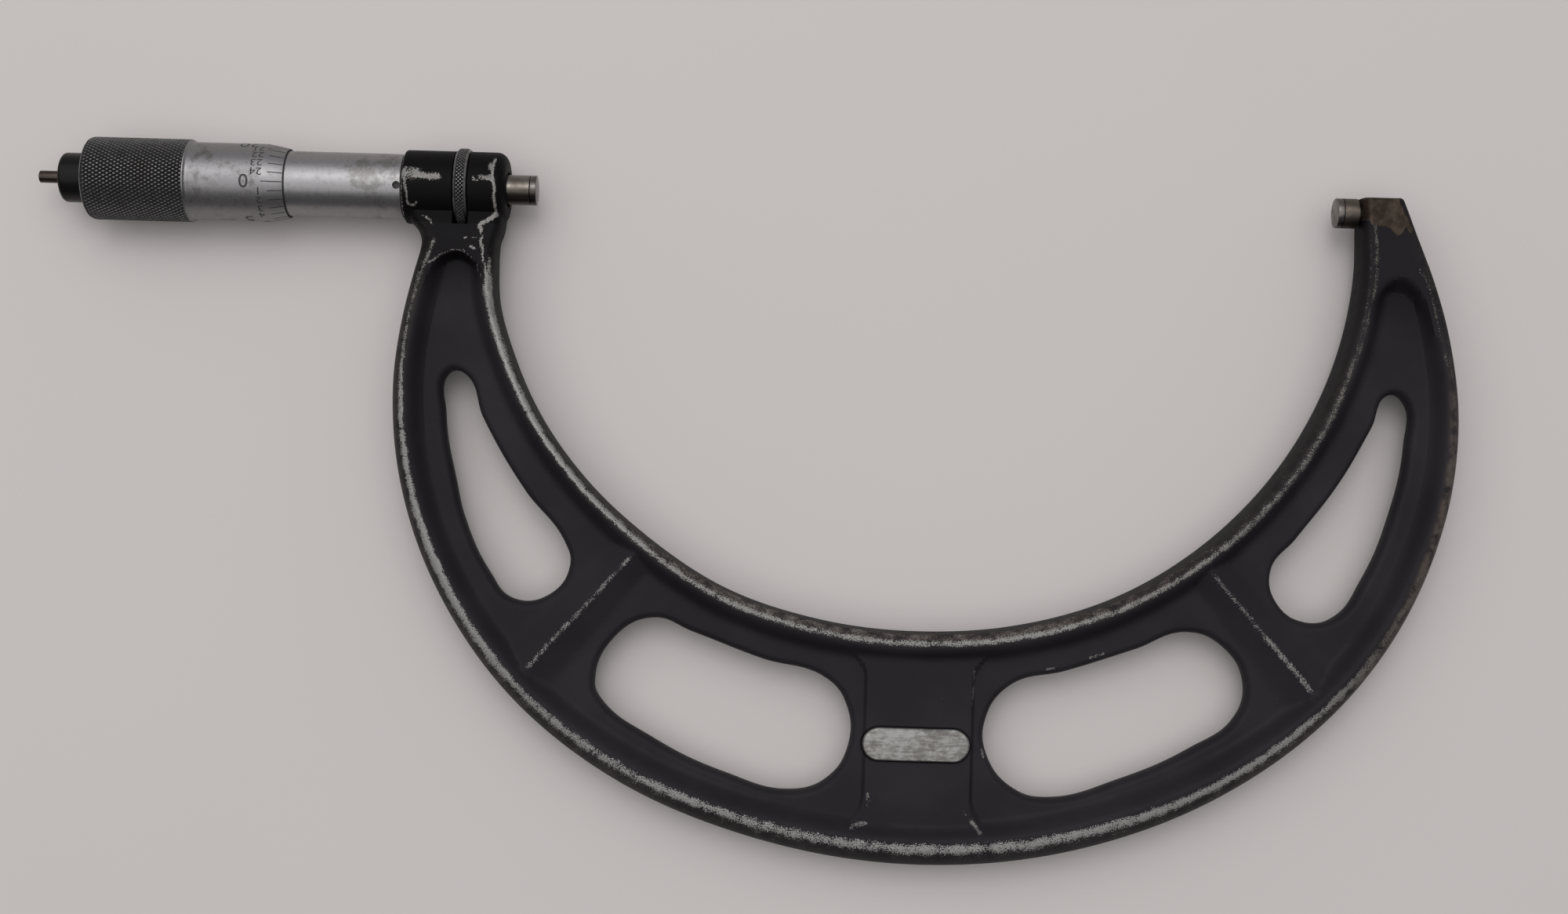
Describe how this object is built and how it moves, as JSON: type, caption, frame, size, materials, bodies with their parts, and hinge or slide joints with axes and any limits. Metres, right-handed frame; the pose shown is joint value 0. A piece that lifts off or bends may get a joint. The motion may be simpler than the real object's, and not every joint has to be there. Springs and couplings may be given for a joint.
{
  "type": "outside micrometer",
  "caption": "Large outside micrometer: forged bow frame with four windows, hub with lock ring, graduated sleeve, knurled thimble, ratchet cap, spindle and anvil.",
  "frame": {"origin": "centre of the anvil's measuring face, in the middle plane of the frame", "axes": "+X along the spindle axis from the spindle to the anvil, +Y away from the bow, +Z out of the side that carries the pad"},
  "size_m": [0.303, 0.1501, 0.0176],
  "materials": {
    "black_enamel": "semi-matte black enamel on a forging, worn to grey steel along the crests",
    "ground_steel": "ground and polished steel",
    "hard_tip": "lapped hard tip, darker than the steel",
    "satin_chrome": "satin chrome, mottled with age",
    "knurled_steel": "knurled steel with dark pits",
    "black_oxide": "glossy black oxide",
    "dark_steel": "dark oiled steel",
    "spring_steel": "bright spring steel"
  },
  "bodies": {
    "frame": {"frame": "black_enamel", "anvil": "ground_steel", "anvil_tip": "hard_tip", "barrel": "ground_steel", "adjusting_nut": "dark_steel", "lock_collet": "dark_steel", "lock_roller": "ground_steel"},
    "sleeve": {"graduated_sleeve": "satin_chrome"},
    "lock_ring": {"lock_ring": "knurled_steel"},
    "spindle": {"spindle": "ground_steel", "spindle_tip": "hard_tip"},
    "thimble": {"thimble": "satin_chrome", "ratchet_wheel": "dark_steel", "thimble_screw": "dark_steel", "ratchet_clip": "spring_steel"},
    "ratchet": {"ratchet_cap": "black_oxide", "ratchet_stem": "dark_steel", "drive_pin": "spring_steel", "ratchet_spring": "spring_steel"},
    "ratchet_disc": {"ratchet_disc": "dark_steel"}
  },
  "joints": [
    {"name": "spindle_feed", "type": "slide", "parent": "frame", "child": "spindle", "axis": [1, 0, 0], "range_m": [-0.0076, 0.0178]},
    {"name": "thimble_turn", "type": "hinge", "parent": "spindle", "child": "thimble", "pos_m": [-0.24, 0, 0], "axis": [1, 0, 0], "range_deg": [-4309, 10092]},
    {"name": "ratchet_turn", "type": "hinge", "parent": "thimble", "child": "ratchet", "pos_m": [-0.267, 0, 0], "axis": [1, 0, 0], "continuous": true},
    {"name": "ratchet_click", "type": "slide", "parent": "ratchet", "child": "ratchet_disc", "axis": [-1, 0, 0], "range_m": [0, 0.0003]},
    {"name": "lock_turn", "type": "hinge", "parent": "frame", "child": "lock_ring", "pos_m": [-0.1856, 0, 0], "axis": [1, 0, 0], "range_deg": [0, 25]},
    {"name": "sleeve_turn", "type": "hinge", "parent": "frame", "child": "sleeve", "pos_m": [-0.215, 0, 0], "axis": [1, 0, 0], "range_deg": [-30, 30]}
  ],
  "couplings": [
    {"joint": "thimble_turn", "follows": "spindle_feed", "rad_per_m": 9894.8}
  ]
}
